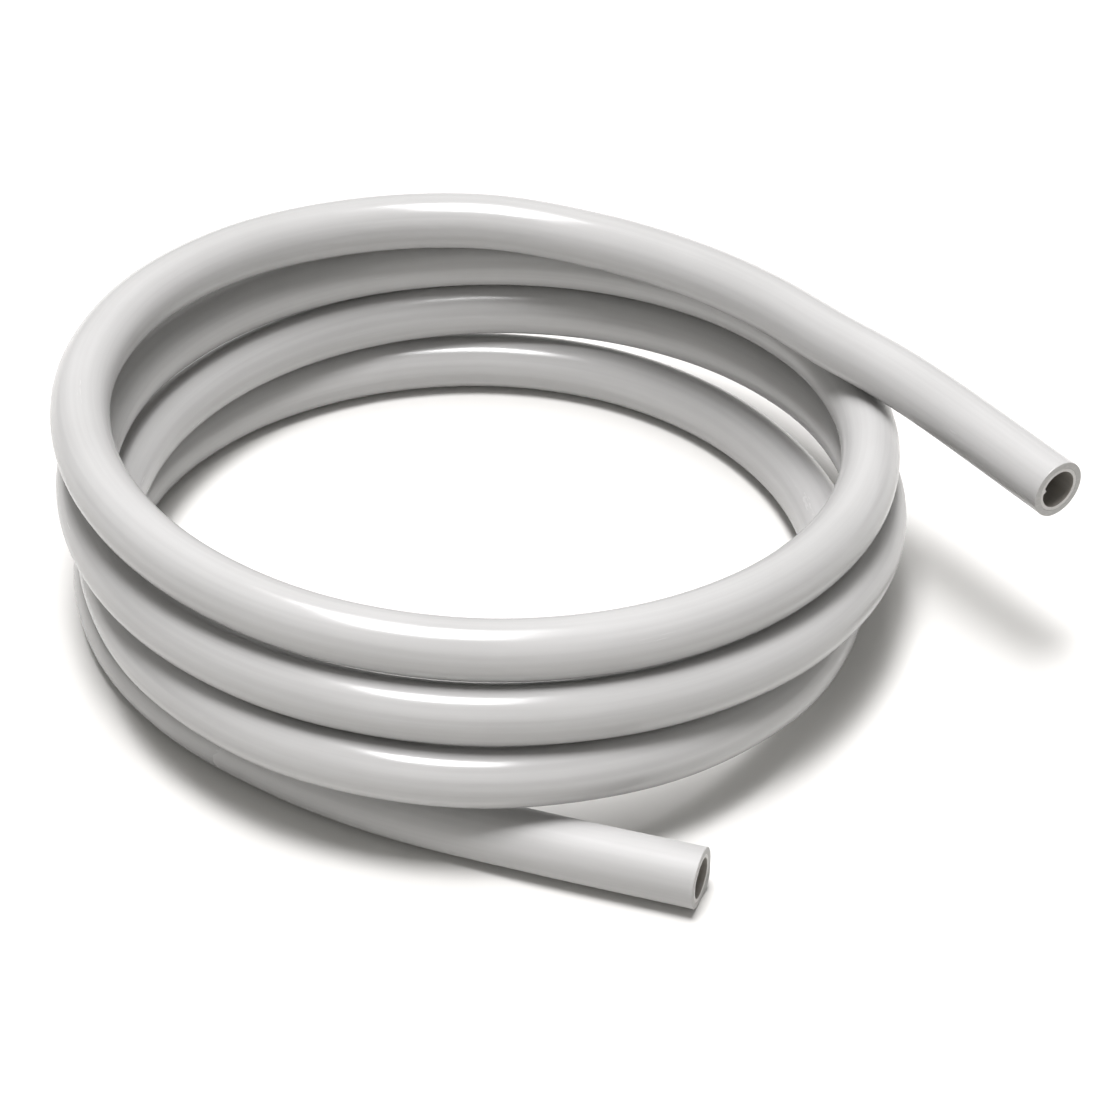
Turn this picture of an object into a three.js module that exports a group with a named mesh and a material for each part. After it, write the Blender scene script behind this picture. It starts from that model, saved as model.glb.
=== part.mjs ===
// A thick-walled PVC hose for a pool cleaner, cut square at both ends and lying in a loose coil.
// Millimetres, +Z up. The coil lies on z = 0, and the origin is under the middle of the whole hose.
// The hose is four tubes, one inside the next. Each keeps to the same route from cut end to cut end.

import * as THREE from 'three';

// Across the hose, from the bore outwards
const boreDiameter = 19.0;
const linerWall = 1.1;
const plyThickness = 0.3;
const jacketWall = 2.2;
const layerGap = 0.3; // between one layer and the next
const sectionSides = 10;

const layers = [
  { name: 'inner_liner', wall: linerWall, color: 0xdedcd8, roughness: 0.5 },
  { name: 'yarn_ply_inner', wall: plyThickness, color: 0xe9e7e0, roughness: 0.9 },
  { name: 'yarn_ply_outer', wall: plyThickness, color: 0xe6e4dc, roughness: 0.9 },
  { name: 'outer_jacket', wall: jacketWall, color: 0xd2d2d4, roughness: 0.3 },
];

const wallThickness = layers.reduce((sum, layer) => sum + layer.wall, 0) + layerGap * (layers.length - 1);
const hoseDiameter = boreDiameter + 2 * wallThickness;

// The coil. A turn is counted from the front, and rises clockwise as seen from above.
const coilRadius = 186; // of the mean circle that the turns keep to
const coilCentre = new THREE.Vector2(-40.2, 32.9);
const pointsPerTurn = 16;
const stepsPerTurn = 20; // straight steps of each tube, on the mean circle

// How the hose lies: how far out from the mean circle and how high above the floor its middle is,
// both in hose diameters, so that the turns still rest on each other when the hose gets thicker.
const floorHeight = 0.5;

// Lower free end, from its cut face to the coil: turn and distance out. It lies on the floor.
const lowerEnd = [
  [-0.063, 2.87],
  [-0.02, 1.33],
  [0.03, 0.53],
  [0.08, 0.15],
  [0.135, 0.07],
  [0.19, 0.06],
];

// Coiled part, at each quarter turn: distance out and height
const coilStart = 0.25;
const coilQuarters = [
  [0.05, 0.5],
  [-0.5, 0.5],
  [-0.35, 0.62],
  [1.1, 1.7],
  [-0.2, 1.58],
  [-0.3, 1.55],
  [0.35, 1.82],
  [0.75, 2.68],
  [0.15, 2.65],
  [-0.2, 2.56],
  [0.2, 2.93],
  [0.35, 3.64],
  [0.16, 4.0],
  [-0.54, 3.56],
];

// Upper free end, from the coil to its cut face: turn, distance out and height.
// It rests on the turn below where it crosses it, and its own stiffness carries the rest.
const upperEnd = [
  [3.56, -0.72, 3.5],
  [3.615, -0.8, 3.6],
  [3.665, -0.66, 3.75],
  [3.71, -0.23, 3.89],
  [3.75, 0.95, 3.9],
  [3.795, 3.47, 3.79],
];

function pointOnRoute(turn, out, height) {
  const angle = 2 * Math.PI * turn;
  const radius = coilRadius + out * hoseDiameter;
  return new THREE.Vector3(
    coilCentre.x - radius * Math.sin(angle),
    coilCentre.y - radius * Math.cos(angle),
    Math.max(height, floorHeight) * hoseDiameter,
  );
}

function coilPoints() {
  const lie = new THREE.SplineCurve(coilQuarters.map(([out, height]) => new THREE.Vector2(out, height)));
  const turns = (coilQuarters.length - 1) / 4;
  const count = turns * pointsPerTurn;
  const points = [];
  for (let i = 0; i <= count; i++) {
    const { x: out, y: height } = lie.getPoint(i / count);
    points.push(pointOnRoute(coilStart + i / pointsPerTurn, out, height));
  }
  return points;
}

function hoseRoute() {
  const points = [
    ...lowerEnd.map(([turn, out]) => pointOnRoute(turn, out, floorHeight)),
    ...coilPoints(),
    ...upperEnd.map(([turn, out, height]) => pointOnRoute(turn, out, height)),
  ];
  const route = new THREE.CatmullRomCurve3(points, false, 'catmullrom');
  route.arcLengthDivisions = 40 * points.length; // fine enough to space the steps evenly
  return route;
}

function sectionRing(radius) {
  const ring = [];
  for (let i = 0; i < sectionSides; i++) {
    const angle = (2 * Math.PI * i) / sectionSides;
    ring.push(new THREE.Vector2(radius * Math.cos(angle), radius * Math.sin(angle)));
  }
  return ring;
}

function tubeAlong(route, innerRadius, outerRadius) {
  const section = new THREE.Shape(sectionRing(outerRadius));
  section.holes.push(new THREE.Path(sectionRing(innerRadius)));
  const stepLength = (2 * Math.PI * coilRadius) / stepsPerTurn;
  const steps = Math.round(route.getLength() / stepLength);
  return new THREE.ExtrudeGeometry(section, { steps, extrudePath: route });
}

const hose = new THREE.Group();
const route = hoseRoute();
let radius = boreDiameter / 2;

for (const { name, wall, color, roughness } of layers) {
  const material = new THREE.MeshStandardMaterial({ color, roughness, metalness: 0 });
  const layer = new THREE.Mesh(tubeAlong(route, radius, radius + wall), material);
  layer.name = name;
  hose.add(layer);
  radius += wall + layerGap;
}

export default hose;
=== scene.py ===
import math

import bpy
import numpy as np
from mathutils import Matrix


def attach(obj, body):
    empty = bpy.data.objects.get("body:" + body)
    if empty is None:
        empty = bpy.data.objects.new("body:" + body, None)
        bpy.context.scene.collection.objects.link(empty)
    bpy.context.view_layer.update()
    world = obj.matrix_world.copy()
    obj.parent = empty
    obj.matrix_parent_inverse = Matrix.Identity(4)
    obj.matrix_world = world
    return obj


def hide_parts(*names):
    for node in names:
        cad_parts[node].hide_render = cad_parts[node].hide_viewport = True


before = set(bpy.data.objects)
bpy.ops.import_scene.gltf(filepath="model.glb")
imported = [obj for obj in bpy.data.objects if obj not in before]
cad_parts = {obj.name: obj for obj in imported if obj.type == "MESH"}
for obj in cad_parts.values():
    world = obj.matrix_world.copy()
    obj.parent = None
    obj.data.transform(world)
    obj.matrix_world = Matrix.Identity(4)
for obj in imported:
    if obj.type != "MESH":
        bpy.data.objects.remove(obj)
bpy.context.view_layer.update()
scene = bpy.context.scene
mm = 0.001

camera = {
    "place": (-0.00462, -1.48358, 1.13746),
    "downTilt": 36.53,  # degrees below level, looking along +Y
    "lens": 123.34,
    "sensorWidth": 36.0,
    "clip": (0.05, 60.0),
}


def makeCamera(c):
    data = bpy.data.cameras.new("camera")
    data.lens = c["lens"]
    data.sensor_width = c["sensorWidth"]
    data.clip_start, data.clip_end = c["clip"]
    obj = bpy.data.objects.new("camera", data)
    obj.location = c["place"]
    obj.rotation_euler = (math.radians(90.0 - c["downTilt"]), 0.0, 0.0)
    scene.collection.objects.link(obj)
    scene.camera = obj


makeCamera(camera)
print("camera in place")

# the hose and the route it lies on, the same as in the part
hose = {
    "diameter": 28.6 * mm,
    "coilRadius": 186.0 * mm,  # of the mean circle that the turns keep to
    "coilCentre": (-40.2 * mm, 32.9 * mm),
    "floorHeight": 0.5,
    # turn and distance out, in hose diameters, from the lower cut face to the coil
    "lowerEnd": [
        (-0.063, 2.87),
        (-0.02, 1.33),
        (0.03, 0.53),
        (0.08, 0.15),
        (0.135, 0.07),
        (0.19, 0.06),
    ],
    "coilStart": 0.25,
    "pointsPerQuarter": 4,
    # distance out and height at each quarter turn
    "coilQuarters": [
        (0.05, 0.5),
        (-0.5, 0.5),
        (-0.35, 0.62),
        (1.1, 1.7),
        (-0.2, 1.58),
        (-0.3, 1.55),
        (0.35, 1.82),
        (0.75, 2.68),
        (0.15, 2.65),
        (-0.2, 2.56),
        (0.2, 2.93),
        (0.35, 3.64),
        (0.16, 4.0),
        (-0.54, 3.56),
    ],
    # turn, distance out and height, from the coil to the upper cut face
    "upperEnd": [
        (3.56, -0.72, 3.5),
        (3.615, -0.8, 3.6),
        (3.665, -0.66, 3.75),
        (3.71, -0.23, 3.89),
        (3.75, 0.95, 3.9),
        (3.795, 3.47, 3.79),
    ],
    "pointsPerSpan": 40,  # of the fine line that the even points are read from
    "routeStep": 4.0 * mm,
}


def pointOnRoute(turn, out, height):
    angle = 2 * math.pi * turn
    radius = hose["coilRadius"] + out * hose["diameter"]
    centreX, centreY = hose["coilCentre"]
    return (
        centreX - radius * math.sin(angle),
        centreY - radius * math.cos(angle),
        max(height, hose["floorHeight"]) * hose["diameter"],
    )


def smoothLine(points, stepsPerSpan, carryOn):
    # a uniform Catmull-Rom line; carryOn runs the ends straight on, otherwise they are doubled
    points = np.array(points, float)
    first = 2 * points[0] - points[1] if carryOn else points[0]
    last = 2 * points[-1] - points[-2] if carryOn else points[-1]
    held = np.vstack([first, points, last])
    line = []
    for i in range(len(points) - 1):
        before, start, end, after = held[i : i + 4]
        slopeIn = (end - before) / 2
        slopeOut = (after - start) / 2
        for t in np.arange(stepsPerSpan) / stepsPerSpan:
            cubic = 2 * (start - end) + slopeIn + slopeOut
            square = 3 * (end - start) - 2 * slopeIn - slopeOut
            line.append(((cubic * t + square) * t + slopeIn) * t + start)
    line.append(points[-1])
    return np.array(line)


def hoseRoute(h):
    # points along the middle of the hose, evenly spaced, and its whole length
    points = [pointOnRoute(turn, out, h["floorHeight"]) for turn, out in h["lowerEnd"]]
    coil = smoothLine(h["coilQuarters"], h["pointsPerQuarter"], carryOn=False)
    for i, (out, height) in enumerate(coil):
        turn = h["coilStart"] + i / (4 * h["pointsPerQuarter"])
        points.append(pointOnRoute(turn, out, height))
    points += [pointOnRoute(*row) for row in h["upperEnd"]]
    fine = smoothLine(points, h["pointsPerSpan"], carryOn=True)
    lengths = np.linalg.norm(np.diff(fine, axis=0), axis=1)
    along = np.concatenate([[0.0], np.cumsum(lengths)])
    count = round(along[-1] / h["routeStep"]) + 1
    even = np.linspace(0.0, along[-1], count)
    route = np.stack([np.interp(even, along, fine[:, axis]) for axis in range(3)], axis=1)
    return route, float(along[-1])


def routeCurve(route):
    data = bpy.data.curves.new("hoseRoute", "CURVE")
    data.dimensions = "3D"
    spline = data.splines.new("POLY")
    spline.points.add(len(route) - 1)
    flat = np.column_stack([route, np.ones(len(route))])
    spline.points.foreach_set("co", flat.ravel())
    obj = bpy.data.objects.new("hoseRoute", data)
    scene.collection.objects.link(obj)
    return obj


route, hoseLength = hoseRoute(hose)
routeLine = routeCurve(route)
print(f"route laid: {hoseLength:.3f} m in {len(route)} points")


def newMaterial(name):
    material = bpy.data.materials.new(name)
    material.use_nodes = True
    return material, material.node_tree, material.node_tree.nodes["Principled BSDF"]


def addNode(tree, kind, place=(0, 0), **settings):
    node = tree.nodes.new(kind)
    node.location = place
    for name, value in settings.items():
        setattr(node, name, value)
    return node


def wire(tree, source, output, target, socket):
    tree.links.new(source.outputs[output], target.inputs[socket])


def patternPlace(tree, attribute, stretch, turn=0.0):
    # the named attribute of the piece, stretched and then turned about the hose
    source = addNode(tree, "ShaderNodeAttribute", (-1400, 0), attribute_name=attribute)
    mapping = addNode(tree, "ShaderNodeMapping", (-1200, 0))
    mapping.inputs["Scale"].default_value = stretch
    mapping.inputs["Rotation"].default_value = (0.0, 0.0, math.radians(turn))
    wire(tree, source, "Vector", mapping, "Vector")
    return mapping


def noise(tree, pattern, turn=0.0):
    # a pattern says its stretch across and along the hose, its scale and its detail
    place = patternPlace(tree, "alongHose", pattern["stretch"], turn)
    node = addNode(tree, "ShaderNodeTexNoise", (-1000, 0))
    node.inputs["Scale"].default_value = pattern["scale"]
    node.inputs["Detail"].default_value = pattern["detail"]
    node.inputs["Roughness"].default_value = pattern.get("roughness", 0.5)
    node.inputs["Distortion"].default_value = pattern.get("distortion", 0.0)
    wire(tree, place, "Vector", node, "Vector")
    return node


def ranged(tree, source, output, fromRange, toRange):
    node = addNode(tree, "ShaderNodeMapRange", (-800, 0))
    node.inputs["From Min"].default_value = fromRange[0]
    node.inputs["From Max"].default_value = fromRange[1]
    node.inputs["To Min"].default_value = toRange[0]
    node.inputs["To Max"].default_value = toRange[1]
    wire(tree, source, output, node, "Value")
    return node


def joined(tree, first, second, operation):
    node = addNode(tree, "ShaderNodeMath", (-600, 0), operation=operation)
    tree.links.new(first.outputs[0], node.inputs[0])
    tree.links.new(second.outputs[0], node.inputs[1])
    return node


def tinted(tree, amount, low, high):
    # a colour between two, by an amount from 0 to 1
    node = addNode(tree, "ShaderNodeValToRGB", (-400, 200))
    node.color_ramp.elements[0].color = (*low, 1.0)
    node.color_ramp.elements[1].color = (*high, 1.0)
    tree.links.new(amount.outputs[0], node.inputs["Fac"])
    return node


def bumped(tree, shader, height, relief, below=None):
    depth, strength = relief
    node = addNode(tree, "ShaderNodeBump", (-300, -300))
    node.inputs["Distance"].default_value = depth
    node.inputs["Strength"].default_value = strength
    tree.links.new(height.outputs[0], node.inputs["Height"])
    if below is not None:
        wire(tree, below, "Normal", node, "Normal")
    wire(tree, node, "Normal", shader, "Normal")
    return node


midNoise = (0.35, 0.65)  # the part of a noise that a tint is spread over
wideNoise = (0.3, 0.7)  # the part that a roughness is spread over

jacketLook = {
    "dull": (0.368, 0.366, 0.362),
    "clean": (0.415, 0.412, 0.409),
    "roughness": (0.14, 0.25),
    "drawn": {"stretch": (1.0, 1.0, 0.012), "scale": 420.0, "detail": 4.0},
    "drawnTint": 0.45,
    "drawnRelief": (0.010 * mm, 0.5),  # depth and strength
    "clouds": {"stretch": (1.0, 1.0, 0.35), "scale": 26.0, "detail": 3.0},
    "cloudTint": 0.55,
    "peel": {"stretch": (1.0, 1.0, 0.7), "scale": 620.0, "detail": 2.0},
    "peelRelief": (0.014 * mm, 0.5),
    "scuffs": {
        "stretch": (1.0, 1.0, 0.06),
        "scale": 150.0,
        "detail": 5.0,
        "roughness": 0.65,
        "distortion": 0.4,
    },
    "scuffRange": (0.60, 0.70),
    "scuffPlaces": {"stretch": (1.0, 1.0, 1.0), "scale": 14.0, "detail": 2.0},
    "scuffPlaceRange": (0.55, 0.70),
    "scuffRoughness": 0.22,  # added where the hose is scuffed
    "endRoughness": 0.38,  # added at the lower free end, which is duller
    "endLength": (0.15, 0.26),  # metres from the lower cut, where the dullness fades out
    "ior": 1.53,
    "subsurface": 0.06,
    "glow": (2.2 * mm, 2.0 * mm, 1.8 * mm),
}


def jacketPvc(look):
    # glossy extruded PVC: faint drawn lines, a slight orange peel and a few soft scuffs
    material, tree, shader = newMaterial("jacketPvc")
    drawn = noise(tree, look["drawn"])
    cloudy = noise(tree, look["clouds"])
    peel = noise(tree, look["peel"])
    dragged = noise(tree, look["scuffs"])
    places = noise(tree, look["scuffPlaces"])

    lines = ranged(tree, drawn, "Fac", midNoise, (0.0, look["drawnTint"]))
    clouds = ranged(tree, cloudy, "Fac", midNoise, (0.0, look["cloudTint"]))
    colour = tinted(
        tree, joined(tree, lines, clouds, "ADD"), look["dull"], look["clean"]
    )
    wire(tree, colour, "Color", shader, "Base Color")

    scuffed = joined(
        tree,
        ranged(tree, dragged, "Fac", look["scuffRange"], (0.0, 1.0)),
        ranged(tree, places, "Fac", look["scuffPlaceRange"], (0.0, look["scuffRoughness"])),
        "MULTIPLY",
    )
    source = addNode(tree, "ShaderNodeAttribute", (-1400, 0), attribute_name="alongHose")
    along = addNode(tree, "ShaderNodeSeparateXYZ", (-1200, 0))
    wire(tree, source, "Vector", along, "Vector")
    dullEnd = ranged(tree, along, "Z", look["endLength"], (look["endRoughness"], 0.0))
    worn = joined(tree, scuffed, dullEnd, "ADD")
    smooth = ranged(tree, cloudy, "Fac", wideNoise, look["roughness"])
    wire(tree, joined(tree, smooth, worn, "ADD"), "Value", shader, "Roughness")

    grain = bumped(tree, shader, drawn, look["drawnRelief"])
    bumped(tree, shader, peel, look["peelRelief"], grain)
    shader.inputs["IOR"].default_value = look["ior"]
    shader.inputs["Subsurface Weight"].default_value = look["subsurface"]
    shader.inputs["Subsurface Radius"].default_value = look["glow"]
    shader.inputs["Subsurface Scale"].default_value = 1.0
    return material


linerBoreShadeLook = {
    # the wall colour is kept dark as painted shade for the inside of the bore; the same plastic
    # shows lighter on its cut face
    "dull": (0.22, 0.205, 0.185),
    "clean": (0.28, 0.265, 0.245),
    "roughness": (0.36, 0.52),
    "drawn": {"stretch": (1.0, 1.0, 0.015), "scale": 520.0, "detail": 4.0},
    "drawnTint": 0.5,
    "drawnRelief": (0.03 * mm, 0.6),
    "bloom": {"stretch": (1.0, 1.0, 0.6), "scale": 60.0, "detail": 4.0},
    "bloomTint": 0.5,
    "ior": 1.53,
}


def linerPvcBoreShade(look):
    # satin inner wall, drawn lines along the bore and a little chalky bloom; its dark colour is
    # painted shade for the inside of the bore
    material, tree, shader = newMaterial("linerPvcBoreShade")
    drawn = noise(tree, look["drawn"])
    bloom = noise(tree, look["bloom"])
    lines = ranged(tree, drawn, "Fac", midNoise, (0.0, look["drawnTint"]))
    clouds = ranged(tree, bloom, "Fac", midNoise, (0.0, look["bloomTint"]))
    colour = tinted(
        tree, joined(tree, lines, clouds, "ADD"), look["dull"], look["clean"]
    )
    wire(tree, colour, "Color", shader, "Base Color")
    smooth = ranged(tree, bloom, "Fac", wideNoise, look["roughness"])
    wire(tree, smooth, "Result", shader, "Roughness")
    bumped(tree, shader, drawn, look["drawnRelief"])
    shader.inputs["IOR"].default_value = look["ior"]
    return material


jacketCutLook = {
    "name": "jacketCutPvc",
    "dull": (0.33, 0.325, 0.315),
    "clean": (0.42, 0.415, 0.405),
    "roughness": (0.42, 0.6),
}
linerCutLook = {
    "name": "linerCutPvc",
    "dull": (0.46, 0.45, 0.435),
    "clean": (0.56, 0.55, 0.535),
    "roughness": (0.38, 0.55),
}
knifeMarks = {
    "turn": 24.0,  # degrees round the hose
    "drag": {"stretch": (0.06, 1.0, 0.2), "scale": 1500.0, "detail": 4.0, "roughness": 0.6},
    "dragTint": 0.6,
    "dragRelief": (0.05 * mm, 0.7),
    "specks": {"stretch": (1.0, 1.0, 1.0), "scale": 900.0, "detail": 3.0},
    "speckRange": (0.4, 0.65),
    "speckTint": 0.4,
    "speckRelief": (0.03 * mm, 0.5),
}


def cutPvc(look, marks):
    # a knife-cut face: drag lines all one way across the section, and torn specks
    material, tree, shader = newMaterial(look["name"])
    drag = noise(tree, marks["drag"], marks["turn"])
    specks = noise(tree, marks["specks"])
    colour = tinted(
        tree,
        joined(
            tree,
            ranged(tree, drag, "Fac", midNoise, (0.0, marks["dragTint"])),
            ranged(tree, specks, "Fac", marks["speckRange"], (0.0, marks["speckTint"])),
            "ADD",
        ),
        look["dull"],
        look["clean"],
    )
    wire(tree, colour, "Color", shader, "Base Color")
    smooth = ranged(tree, specks, "Fac", wideNoise, look["roughness"])
    wire(tree, smooth, "Result", shader, "Roughness")
    first = bumped(tree, shader, drag, marks["dragRelief"])
    bumped(tree, shader, specks, marks["speckRelief"], first)
    return material


yarnLook = {
    "dull": (0.66, 0.65, 0.60),
    "clean": (0.84, 0.83, 0.79),
    "roughness": 0.72,
    "twist": 0.9 * mm,  # along the yarn for one turn of its fibres
    "bandsAtScaleOne": 3.2,  # bands in a metre that the wave texture makes
    "unevenness": 1.5,
    "relief": (0.05 * mm, 0.6),
    "sheen": 0.25,
}


def polyesterYarn(look):
    # twisted filament yarn: dark and light bands that follow the twist
    material, tree, shader = newMaterial("polyesterYarn")
    place = patternPlace(tree, "alongYarn", (1.0, 1.0, 1.0))
    bands = addNode(tree, "ShaderNodeTexWave", (-1000, 0), wave_type="BANDS")
    bands.bands_direction = "X"
    bands.inputs["Scale"].default_value = 1.0 / look["twist"] / look["bandsAtScaleOne"]
    bands.inputs["Distortion"].default_value = look["unevenness"]
    wire(tree, place, "Vector", bands, "Vector")
    colour = tinted(tree, bands, look["dull"], look["clean"])
    wire(tree, colour, "Color", shader, "Base Color")
    bumped(tree, shader, bands, look["relief"])
    shader.inputs["Roughness"].default_value = look["roughness"]
    shader.inputs["Sheen Weight"].default_value = look["sheen"]
    return material


jacketFinish = jacketPvc(jacketLook)
linerFinish = linerPvcBoreShade(linerBoreShadeLook)
jacketCutFinish = cutPvc(jacketCutLook, knifeMarks)
linerCutFinish = cutPvc(linerCutLook, knifeMarks)
yarnFinish = polyesterYarn(yarnLook)
print("materials made")


def newTree(name, sockets):
    tree = bpy.data.node_groups.new(name, "GeometryNodeTree")
    tree.interface.new_socket("Geometry", in_out="INPUT", socket_type="NodeSocketGeometry")
    tree.interface.new_socket("Geometry", in_out="OUTPUT", socket_type="NodeSocketGeometry")
    for label, kind in sockets:
        tree.interface.new_socket(label, in_out="INPUT", socket_type=kind)
    start = addNode(tree, "NodeGroupInput", (-1200, 0))
    end = addNode(tree, "NodeGroupOutput", (1400, 0))
    return tree, start, end


def maths(tree, operation, first, second=None):
    # an arithmetic node on sockets or plain numbers
    node = addNode(tree, "ShaderNodeMath", (0, 0), operation=operation)
    for i, value in enumerate(v for v in (first, second) if v is not None):
        if isinstance(value, (int, float)):
            node.inputs[i].default_value = value
        else:
            tree.links.new(value, node.inputs[i])
    return node.outputs[0]


def vectorMaths(tree, operation, first, second=None, factor=None):
    node = addNode(tree, "ShaderNodeVectorMath", (0, 0), operation=operation)
    tree.links.new(first, node.inputs[0])
    if second is not None:
        tree.links.new(second, node.inputs[1])
    if factor is not None:
        tree.links.new(factor, node.inputs["Scale"])
    return node.outputs[0]


def layAlongRoute(tree, geometry, routeSocket):
    # x is to the left of the route, y is up, z is the length along it
    source = addNode(tree, "GeometryNodeObjectInfo", (-900, -300))
    tree.links.new(routeSocket, source.inputs["Object"])
    upright = addNode(tree, "GeometryNodeSetCurveNormal", (-700, -300), mode="Z_UP")
    wire(tree, source, "Geometry", upright, "Curve")
    whole = addNode(tree, "GeometryNodeCurveLength", (-500, -500))
    wire(tree, upright, "Curve", whole, "Curve")

    place = addNode(tree, "GeometryNodeInputPosition", (-900, 200))
    parts = addNode(tree, "ShaderNodeSeparateXYZ", (-700, 200))
    wire(tree, place, "Position", parts, "Vector")
    left, up, along = (parts.outputs[axis] for axis in "XYZ")
    held = maths(tree, "MAXIMUM", along, 0.0)
    held = maths(tree, "MINIMUM", held, whole.outputs["Length"])
    beyond = maths(tree, "SUBTRACT", along, held)

    sample = addNode(tree, "GeometryNodeSampleCurve", (-200, -300), mode="LENGTH")
    wire(tree, upright, "Curve", sample, "Curves")
    tree.links.new(held, sample.inputs["Length"])
    middle = sample.outputs["Position"]
    tangent = sample.outputs["Tangent"]
    right = sample.outputs["Normal"]
    upward = vectorMaths(tree, "CROSS_PRODUCT", right, tangent)
    across = vectorMaths(tree, "SCALE", right, factor=maths(tree, "MULTIPLY", left, -1.0))
    raised = vectorMaths(tree, "SCALE", upward, factor=up)
    onward = vectorMaths(tree, "SCALE", tangent, factor=beyond)
    total = vectorMaths(tree, "ADD", middle, across)
    total = vectorMaths(tree, "ADD", total, raised)
    total = vectorMaths(tree, "ADD", total, onward)

    move = addNode(tree, "GeometryNodeSetPosition", (600, 0))
    tree.links.new(geometry, move.inputs["Geometry"])
    tree.links.new(total, move.inputs["Position"])
    return move.outputs["Geometry"]


def finished(tree, geometry, end, *finishes):
    # ends a tree: every finish is a material socket and, after the first, a face mark
    real = addNode(tree, "GeometryNodeRealizeInstances", (800, 0))
    tree.links.new(geometry, real.inputs["Geometry"])
    geometry = real.outputs["Geometry"]
    for socket, mark in finishes:
        setter = addNode(tree, "GeometryNodeSetMaterial", (1000, 0))
        tree.links.new(geometry, setter.inputs["Geometry"])
        tree.links.new(socket, setter.inputs["Material"])
        if mark is not None:
            named = addNode(
                tree, "GeometryNodeInputNamedAttribute", (800, -200), data_type="BOOLEAN"
            )
            named.inputs["Name"].default_value = mark
            wire(tree, named, "Attribute", setter, "Selection")
        geometry = setter.outputs["Geometry"]
    tree.links.new(geometry, end.inputs["Geometry"])


def makeLayTree():
    # a straight layer laid along the route, with another finish on its cut faces
    tree, start, end = newTree(
        "laidLayer",
        [
            ("Route", "NodeSocketObject"),
            ("Finish", "NodeSocketMaterial"),
            ("Cut finish", "NodeSocketMaterial"),
        ],
    )
    laid = layAlongRoute(tree, start.outputs["Geometry"], start.outputs["Route"])
    finished(
        tree,
        laid,
        end,
        (start.outputs["Finish"], None),
        (start.outputs["Cut finish"], "cutFace"),
    )
    return tree


def makePlyTree():
    # yarns side by side, wound into a spiral and then laid along the route
    tree, start, end = newTree(
        "woundPly",
        [
            ("Route", "NodeSocketObject"),
            ("Finish", "NodeSocketMaterial"),
            ("Hose length", "NodeSocketFloat"),
            ("Yarns", "NodeSocketInt"),
            ("Ply radius", "NodeSocketFloat"),
            ("Lay length", "NodeSocketFloat"),
            ("Yarn radius", "NodeSocketFloat"),
            ("Step", "NodeSocketFloat"),
            ("Yarn sides", "NodeSocketInt"),
            ("End cover", "NodeSocketFloat"),
        ],
    )
    first = addNode(tree, "ShaderNodeCombineXYZ", (-1000, 500))
    wire(tree, start, "End cover", first, "Z")
    last = addNode(tree, "ShaderNodeCombineXYZ", (-1000, 300))
    yarnEnd = maths(tree, "SUBTRACT", start.outputs["Hose length"], start.outputs["End cover"])
    tree.links.new(yarnEnd, last.inputs["Z"])
    line = addNode(tree, "GeometryNodeCurvePrimitiveLine", (-800, 300))
    wire(tree, first, "Vector", line, "Start")
    wire(tree, last, "Vector", line, "End")
    stepped = addNode(tree, "GeometryNodeResampleCurve", (-600, 300), mode="LENGTH")
    wire(tree, line, "Curve", stepped, "Curve")
    wire(tree, start, "Step", stepped, "Length")
    copies = addNode(tree, "GeometryNodeDuplicateElements", (-400, 300), domain="SPLINE")
    wire(tree, stepped, "Curve", copies, "Geometry")
    wire(tree, start, "Yarns", copies, "Amount")

    place = addNode(tree, "GeometryNodeInputPosition", (-600, 0))
    parts = addNode(tree, "ShaderNodeSeparateXYZ", (-400, 0))
    wire(tree, place, "Position", parts, "Vector")
    along = parts.outputs["Z"]
    turns = maths(tree, "DIVIDE", along, start.outputs["Lay length"])
    share = maths(tree, "DIVIDE", copies.outputs["Duplicate Index"], start.outputs["Yarns"])
    angle = maths(tree, "MULTIPLY", maths(tree, "ADD", turns, share), 2 * math.pi)
    wound = addNode(tree, "ShaderNodeCombineXYZ", (0, 0))
    radius = start.outputs["Ply radius"]
    tree.links.new(maths(tree, "MULTIPLY", maths(tree, "COSINE", angle), radius), wound.inputs["X"])
    tree.links.new(maths(tree, "MULTIPLY", maths(tree, "SINE", angle), radius), wound.inputs["Y"])
    tree.links.new(along, wound.inputs["Z"])
    spiral = addNode(tree, "GeometryNodeSetPosition", (200, 300))
    wire(tree, copies, "Geometry", spiral, "Geometry")
    wire(tree, wound, "Vector", spiral, "Position")

    parameter = addNode(tree, "GeometryNodeSplineParameter", (200, 0))
    measured = addNode(
        tree, "GeometryNodeStoreNamedAttribute", (400, 300), data_type="FLOAT_VECTOR"
    )
    measured.inputs["Name"].default_value = "alongYarn"
    length = addNode(tree, "ShaderNodeCombineXYZ", (300, 0))
    wire(tree, parameter, "Length", length, "X")
    wire(tree, spiral, "Geometry", measured, "Geometry")
    wire(tree, length, "Vector", measured, "Value")
    laid = layAlongRoute(tree, measured.outputs["Geometry"], start.outputs["Route"])

    section = addNode(tree, "GeometryNodeCurvePrimitiveCircle", (600, -300))
    wire(tree, start, "Yarn sides", section, "Resolution")
    wire(tree, start, "Yarn radius", section, "Radius")
    solid = addNode(tree, "GeometryNodeCurveToMesh", (700, 0))
    tree.links.new(laid, solid.inputs["Curve"])
    wire(tree, section, "Curve", solid, "Profile Curve")
    solid.inputs["Fill Caps"].default_value = True
    finished(tree, solid.outputs["Mesh"], end, (start.outputs["Finish"], None))
    return tree


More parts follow.
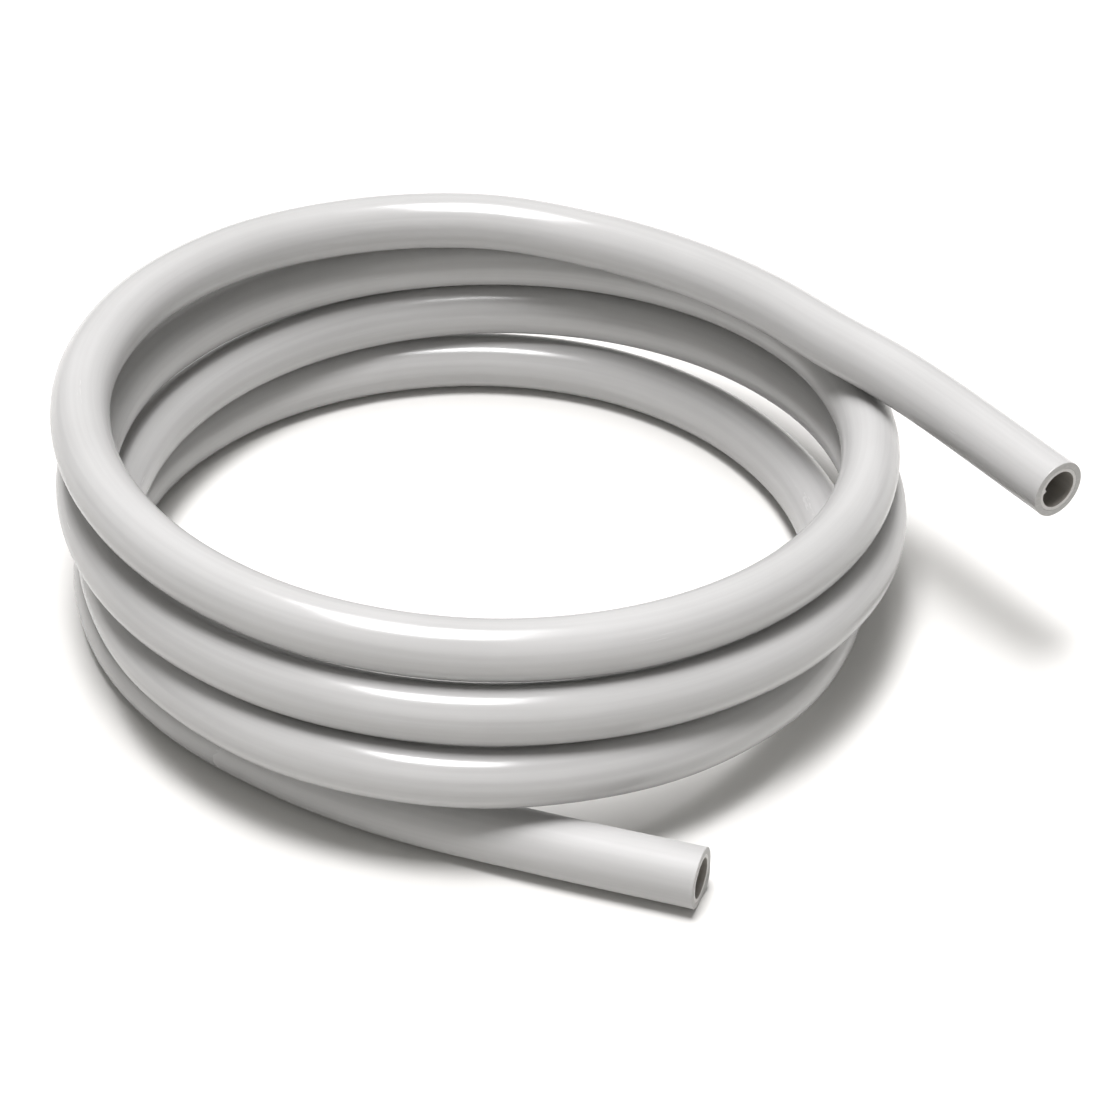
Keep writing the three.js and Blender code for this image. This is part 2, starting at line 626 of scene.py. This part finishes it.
def runTree(source, tree, values, name):
    # the modifier's result as a plain mesh object, which takes the source's place
    modifier = source.modifiers.new("lay", "NODES")
    modifier.node_group = tree
    for item in tree.interface.items_tree:
        if item.item_type == "SOCKET" and item.name in values:
            modifier[item.identifier] = values[item.name]
    depsgraph = bpy.context.evaluated_depsgraph_get()
    mesh = bpy.data.meshes.new_from_object(
        source.evaluated_get(depsgraph), preserve_all_data_layers=True, depsgraph=depsgraph
    )
    mesh.name = name
    bpy.data.objects.remove(source)
    piece = bpy.data.objects.new(name, mesh)
    scene.collection.objects.link(piece)
    return piece


layTree = makeLayTree()
plyTree = makePlyTree()
print("node trees built")

jacket = {
    "outer": 14.3 * mm,
    "inner": 11.75 * mm,
    "lipInner": 11.22 * mm,  # the plastic closes over the yarn at each cut
    "lipDepth": 2.5 * mm,
    "lipTaper": 0.8 * mm,
    # out from the outer wall and back from the cut, in mm, over the rolled outer edge
    "rim": [(0.0, 3.0), (0.02, 1.6), (0.09, 0.75), (0.10, 0.4), (0.04, 0.14), (-0.10, 0.02)],
    "rimOnCut": 2,  # rows of the rim that belong to the cut face
    "cutMargins": (0.35 * mm, 0.2 * mm),  # from the outer wall and from the lip
    "cutRings": 8,
    # out from the lip and back from the cut, in mm
    "lipEdge": [(0.05, 0.02), (0.0, 0.12)],
    "sides": 72,
    "outerStep": 8.0 * mm,
    "innerStep": 32.0 * mm,
}
liner = {
    "outer": 10.70 * mm,
    "lipOuter": 11.19 * mm,
    "lipDepth": 2.5 * mm,
    "lipTaper": 0.8 * mm,
    # in from the lip and back from the cut, in mm
    "lipEdge": [(0.0, 0.16), (0.06, 0.03)],
    "cutMargins": (0.2 * mm, 0.3 * mm),  # from the lip and from the bore
    "cutRings": 6,
    # out from the bore and back from the cut, in mm
    "boreEdge": [(0.10, 0.05), (0.02, 0.18)],
    "boreRows": [0.5, 1.1, 2.0, 4.0],  # back from the cut, in mm
    "bore": 9.5 * mm,
    "sides": 96,
    "outerStep": 32.0 * mm,
    "boreStep": 16.0 * mm,
}
# how each cut runs: its skew and waves, by the angle round the hose from its left side
cuts = {
    "lower": {"skew": 0.35 * mm, "skewAngle": 100.0, "wave": 0.10 * mm, "seed": 3},
    "upper": {"skew": 0.25 * mm, "skewAngle": -40.0, "wave": 0.08 * mm, "seed": 7},
}
cutFade = 30.0 * mm  # along the hose, where the skew and waves of a cut have died out
cutWaves = (2, 3, 5, 9, 14)  # waves round the hose
waveShare = (0.4, 1.0)  # least and most of a wave's size
burr = {
    "angle": 165.0,
    "halfWidth": 5.5,
    "reach": 1.7 * mm,
    "depth": 1.1 * mm,
    "rimWidth": 0.2 * mm,
}
flap = {
    "angle": -133.0,
    "halfWidth": 26.0,
    "reach": 0.8 * mm,
    "rimDepth": 1.0 * mm,
    "rimWidth": 1.3 * mm,
    "spread": 0.25,  # outwards, as a share of how far it stands out
}
stripMargin = 0.02


def gaps(low, high, step):
    # stations between two places, about a step apart, without the two ends
    count = max(2, round((high - low) / step))
    return np.linspace(low, high, count + 1)[1:-1]


def jacketProfile(j, length):
    # radius, place along Z and whether on a cut face, once round the wall
    outerMargin, lipMargin = j["cutMargins"]
    near = []
    for i, (out, depth) in enumerate(j["rim"]):
        onCut = i >= len(j["rim"]) - j["rimOnCut"]
        near.append((j["outer"] + out * mm, depth * mm, onCut))
    for radius in np.linspace(j["outer"] - outerMargin, j["lipInner"] + lipMargin, j["cutRings"]):
        near.append((radius, 0.0, True))
    for out, depth in j["lipEdge"]:
        near.append((j["lipInner"] + out * mm, depth * mm, True))
    near.append((j["lipInner"], j["lipDepth"], False))
    near.append((j["inner"], j["lipDepth"] + j["lipTaper"], False))
    start = near[0][1]
    outerWall = [(j["outer"], z, False) for z in gaps(start, length - start, j["outerStep"])]
    deep = near[-1][1]
    innerWall = [(j["inner"], z, False) for z in gaps(deep, length - deep, j["innerStep"])]
    far = [(r, length - z, cut) for r, z, cut in near]
    return outerWall + far + innerWall[::-1] + near[::-1]


def linerProfile(p, length):
    # the same for the liner
    lipMargin, boreMargin = p["cutMargins"]
    near = [
        (p["outer"], p["lipDepth"] + p["lipTaper"], False),
        (p["lipOuter"], p["lipDepth"], False),
    ]
    for inward, depth in p["lipEdge"]:
        near.append((p["lipOuter"] - inward * mm, depth * mm, True))
    for radius in np.linspace(p["lipOuter"] - lipMargin, p["bore"] + boreMargin, p["cutRings"]):
        near.append((radius, 0.0, True))
    for out, depth in p["boreEdge"]:
        near.append((p["bore"] + out * mm, depth * mm, True))
    for depth in p["boreRows"]:
        near.append((p["bore"], depth * mm, False))
    start = near[0][1]
    outerWall = [(p["outer"], z, False) for z in gaps(start, length - start, p["outerStep"])]
    deep = near[-1][1]
    boreWall = [(p["bore"], z, False) for z in gaps(deep, length - deep, p["boreStep"])]
    far = [(r, length - z, cut) for r, z, cut in near]
    return outerWall + far + boreWall[::-1] + near[::-1]


def cutShift(cut, angle, radius):
    # how far the cut face stands out of its plane, round the hose
    dice = np.random.default_rng(cut["seed"])
    shift = cut["skew"] * (radius / jacket["outer"]) * np.cos(angle - math.radians(cut["skewAngle"]))
    for waves in cutWaves:
        size = cut["wave"] * dice.uniform(*waveShare) / math.sqrt(waves)
        shift = shift + size * np.sin(waves * angle + dice.uniform(0, 2 * math.pi))
    return shift


def bump(angle, centre, halfWidth):
    # from 0 to 1 at its centre, in degrees round the hose
    away = (angle - math.radians(centre) + math.pi) % (2 * math.pi) - math.pi
    return np.exp(-((away / math.radians(halfWidth)) ** 2))


def straightLayer(name, profile, sides, length, edit):
    # a closed wall of rings, straight along Z, with its section place kept as an attribute
    angle = 2 * math.pi * np.arange(sides) / sides
    rings = []
    for radius, z, _ in profile:
        radii = np.full(sides, radius)
        heights = np.full(sides, z)
        lowerPart = max(0.0, 1.0 - z / cutFade)
        upperPart = max(0.0, 1.0 - (length - z) / cutFade)
        heights -= lowerPart * cutShift(cuts["lower"], angle, radius)
        heights += upperPart * cutShift(cuts["upper"], angle, radius)
        radii, heights = edit(angle, radius, z, radii, heights)
        rings.append(np.stack([radii * np.cos(angle), radii * np.sin(angle), heights], 1))
    points = np.array(rings)
    count = len(profile)
    ring = np.arange(count)[:, None]
    side = np.arange(sides)[None, :]
    nextRing = (ring + 1) % count
    nextSide = (side + 1) % sides
    corners = [(ring, side), (ring, nextSide), (nextRing, nextSide), (nextRing, side)]
    faces = np.stack([a * sides + b for a, b in corners], axis=-1).reshape(-1, 4)
    mesh = bpy.data.meshes.new(name)
    mesh.from_pydata(points.reshape(-1, 3), [], faces.tolist())
    mesh.polygons.foreach_set("use_smooth", np.ones(len(faces), bool))
    marks = np.array([cut for _, _, cut in profile])
    onCut = np.repeat(marks & np.roll(marks, -1), sides)
    mesh.attributes.new("cutFace", "BOOLEAN", "FACE").data.foreach_set("value", onCut)
    place = mesh.attributes.new("alongHose", "FLOAT_VECTOR", "POINT")
    place.data.foreach_set("vector", points.astype(np.float32).ravel())
    addStripMap(mesh, profile, sides)
    obj = bpy.data.objects.new(name, mesh)
    scene.collection.objects.link(obj)
    return obj


def addStripMap(mesh, profile, sides):
    # the wall unrolled into side-by-side strips that fill a square
    line = np.array([(r, z) for r, z, _ in profile])
    steps = np.linalg.norm(np.roll(line, -1, axis=0) - line, axis=1)
    starts = np.concatenate([[0.0], np.cumsum(steps)[:-1]])
    total = steps.sum()
    strips = round(math.sqrt(total / (2 * math.pi * line[:, 0].max())))
    stripLength = total / strips
    row = np.minimum(starts // stripLength, strips - 1)
    low = (starts - row * stripLength) / (stripLength + steps.max())
    high = low + steps / (stripLength + steps.max())
    side = np.arange(sides)
    u = np.empty((len(profile), sides, 4))
    v = np.empty_like(u)
    u[:, :, 0] = u[:, :, 1] = low[:, None]
    u[:, :, 2] = u[:, :, 3] = high[:, None]
    inside = 1 - 2 * stripMargin
    near = (row[:, None] + stripMargin + inside * side / sides) / strips
    far = (row[:, None] + stripMargin + inside * (side + 1) / sides) / strips
    v[:, :, 0] = v[:, :, 3] = near
    v[:, :, 1] = v[:, :, 2] = far
    layer = mesh.uv_layers.new(name="OFBake")
    layer.data.foreach_set("uv", np.stack([u, v], -1).astype(np.float32).ravel())


def tearJacket(angle, radius, z, radii, heights):
    # a flap of plastic on the outer edge of the lower cut
    if z < flap["rimDepth"] and radius > jacket["outer"] - flap["rimWidth"]:
        lift = flap["reach"] * bump(angle, flap["angle"], flap["halfWidth"])
        heights = heights - lift
        radii = radii + flap["spread"] * lift
    return radii, heights


def tearLiner(angle, radius, z, radii, heights):
    # a burr that leans into the bore at the upper cut
    depth = hoseLength - z
    if depth < burr["depth"] and radius < liner["bore"] + burr["rimWidth"]:
        radii = radii - burr["reach"] * (1.0 - depth / burr["depth"]) * bump(
            angle, burr["angle"], burr["halfWidth"]
        )
    return radii, heights


def makeJacket():
    source = straightLayer(
        "jacketStraight", jacketProfile(jacket, hoseLength), jacket["sides"], hoseLength, tearJacket
    )
    values = {"Route": routeLine, "Finish": jacketFinish, "Cut finish": jacketCutFinish}
    return runTree(source, layTree, values, "hose_jacket")


def makeLiner():
    source = straightLayer(
        "linerStraight", linerProfile(liner, hoseLength), liner["sides"], hoseLength, tearLiner
    )
    values = {"Route": routeLine, "Finish": linerFinish, "Cut finish": linerCutFinish}
    return runTree(source, layTree, values, "hose_liner")


# the reinforcement: two plies of yarn wound opposite ways
plies = {
    "yarns": 16,
    "innerRadius": 11.02 * mm,
    "outerRadius": 11.53 * mm,
    "layLength": 90.0 * mm,
    "yarnRadius": 0.19 * mm,
    "yarnSides": 4,
    "step": 4.4 * mm,
    "endCover": 1.3 * mm,  # plastic over the yarn ends at each cut
}


def makePly(name, radius, hand):
    mesh = bpy.data.meshes.new(name + "Start")
    source = bpy.data.objects.new(name + "Start", mesh)
    scene.collection.objects.link(source)
    values = {
        "Route": routeLine,
        "Finish": yarnFinish,
        "Hose length": hoseLength,
        "Yarns": plies["yarns"],
        "Ply radius": radius,
        "Lay length": hand * plies["layLength"],
        "Yarn radius": plies["yarnRadius"],
        "Step": plies["step"],
        "Yarn sides": plies["yarnSides"],
        "End cover": plies["endCover"],
    }
    return runTree(source, plyTree, values, name)


hoseJacket = makeJacket()
hoseLiner = makeLiner()
innerPly = makePly("yarn_inner_ply", plies["innerRadius"], 1.0)
outerPly = makePly("yarn_outer_ply", plies["outerRadius"], -1.0)
bpy.data.objects.remove(routeLine)
for piece in (hoseJacket, hoseLiner, innerPly, outerPly):
    piece.data.calc_loop_triangles()
    print(f"{piece.name}: {len(piece.data.loop_triangles)} triangles")

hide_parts("outer_jacket")
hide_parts("inner_liner")
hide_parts("yarn_ply_inner")
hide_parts("yarn_ply_outer")
for piece in (hoseJacket, hoseLiner, innerPly, outerPly):
    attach(piece, "root")
print("hose declared")

floorLook = {
    "size": 16.0,
    "low": (0.63, 0.625, 0.61),
    "high": (0.67, 0.665, 0.65),
    "mottleScale": 6.0,
    "roughness": 0.75,
    "specular": 0.2,
}


def makeFloor(f):
    half = f["size"] / 2
    corners = [(-half, -half, 0), (half, -half, 0), (half, half, 0), (-half, half, 0)]
    mesh = bpy.data.meshes.new("floor")
    mesh.from_pydata(corners, [], [(0, 1, 2, 3)])
    material, tree, shader = newMaterial("floorPaint")
    place = addNode(tree, "ShaderNodeTexCoord", (-1200, 0))
    mottle = addNode(tree, "ShaderNodeTexNoise", (-1000, 0))
    mottle.inputs["Scale"].default_value = f["mottleScale"]
    wire(tree, place, "Object", mottle, "Vector")
    colour = tinted(tree, ranged(tree, mottle, "Fac", wideNoise, (0.0, 1.0)), f["low"], f["high"])
    wire(tree, colour, "Color", shader, "Base Color")
    shader.inputs["Roughness"].default_value = f["roughness"]
    shader.inputs["Specular IOR Level"].default_value = f["specular"]
    mesh.materials.append(material)
    floor = bpy.data.objects.new("floor", mesh)
    scene.collection.objects.link(floor)


softbox = {
    "place": (-0.19, 0.13, 5.0),
    "size": (2.03, 3.35),
    "radiance": 12.8,
    "colour": (1.0, 0.99, 1.0),
    "tilt": 0.0,
}
keyLight = {
    "place": (-0.45, -0.65, 4.9),
    "size": (1.2, 1.4),
    "radiance": 31.0,
    "colour": (1.0, 0.99, 1.0),
    "tilt": 0.0,
}
frontFill = {
    "place": (0.0, -3.4, 1.9),
    "size": (4.5, 2.4),
    "radiance": 0.6,
    "colour": (1.0, 0.985, 0.955),
    "tilt": 60.8,  # degrees, to face the hose
}
room = {
    "dim": (0.06, 0.059, 0.056),
    "bright": (0.70, 0.695, 0.68),
    "heightRange": (-0.1, 1.0),  # from just under level to straight up
    "backRange": (0.15, 0.8),  # from the sides to the back
    "share": 0.5,  # of the brightening that each of the two gives
}


def makeLight(name, spec):
    # radiance is in watts per square metre and steradian, over the whole light
    data = bpy.data.lights.new(name, "AREA")
    data.shape = "RECTANGLE"
    data.size, data.size_y = spec["size"]
    data.energy = spec["radiance"] * math.pi * data.size * data.size_y
    data.color = spec["colour"]
    light = bpy.data.objects.new(name, data)
    light.location = spec["place"]
    light.rotation_euler = (math.radians(spec["tilt"]), 0.0, 0.0)
    light.visible_camera = False
    scene.collection.objects.link(light)


def makeRoom():
    # dim in front and at the sides, brighter overhead and at the back
    world = bpy.data.worlds.new("room")
    world.use_nodes = True
    tree = world.node_tree
    place = addNode(tree, "ShaderNodeTexCoord", (-900, 0))
    parts = addNode(tree, "ShaderNodeSeparateXYZ", (-700, 0))
    wire(tree, place, "Generated", parts, "Vector")
    height = ranged(tree, parts, "Z", room["heightRange"], (0.0, room["share"]))
    back = ranged(tree, parts, "Y", room["backRange"], (0.0, room["share"]))
    colour = tinted(tree, joined(tree, height, back, "ADD"), room["dim"], room["bright"])
    wire(tree, colour, "Color", tree.nodes["Background"], "Color")
    scene.world = world


makeFloor(floorLook)
makeLight("softbox", softbox)
makeLight("keyLight", keyLight)
makeLight("frontFill", frontFill)
makeRoom()
scene.view_settings.view_transform = "Standard"
scene.view_settings.look = "None"
print("floor and lights in place")
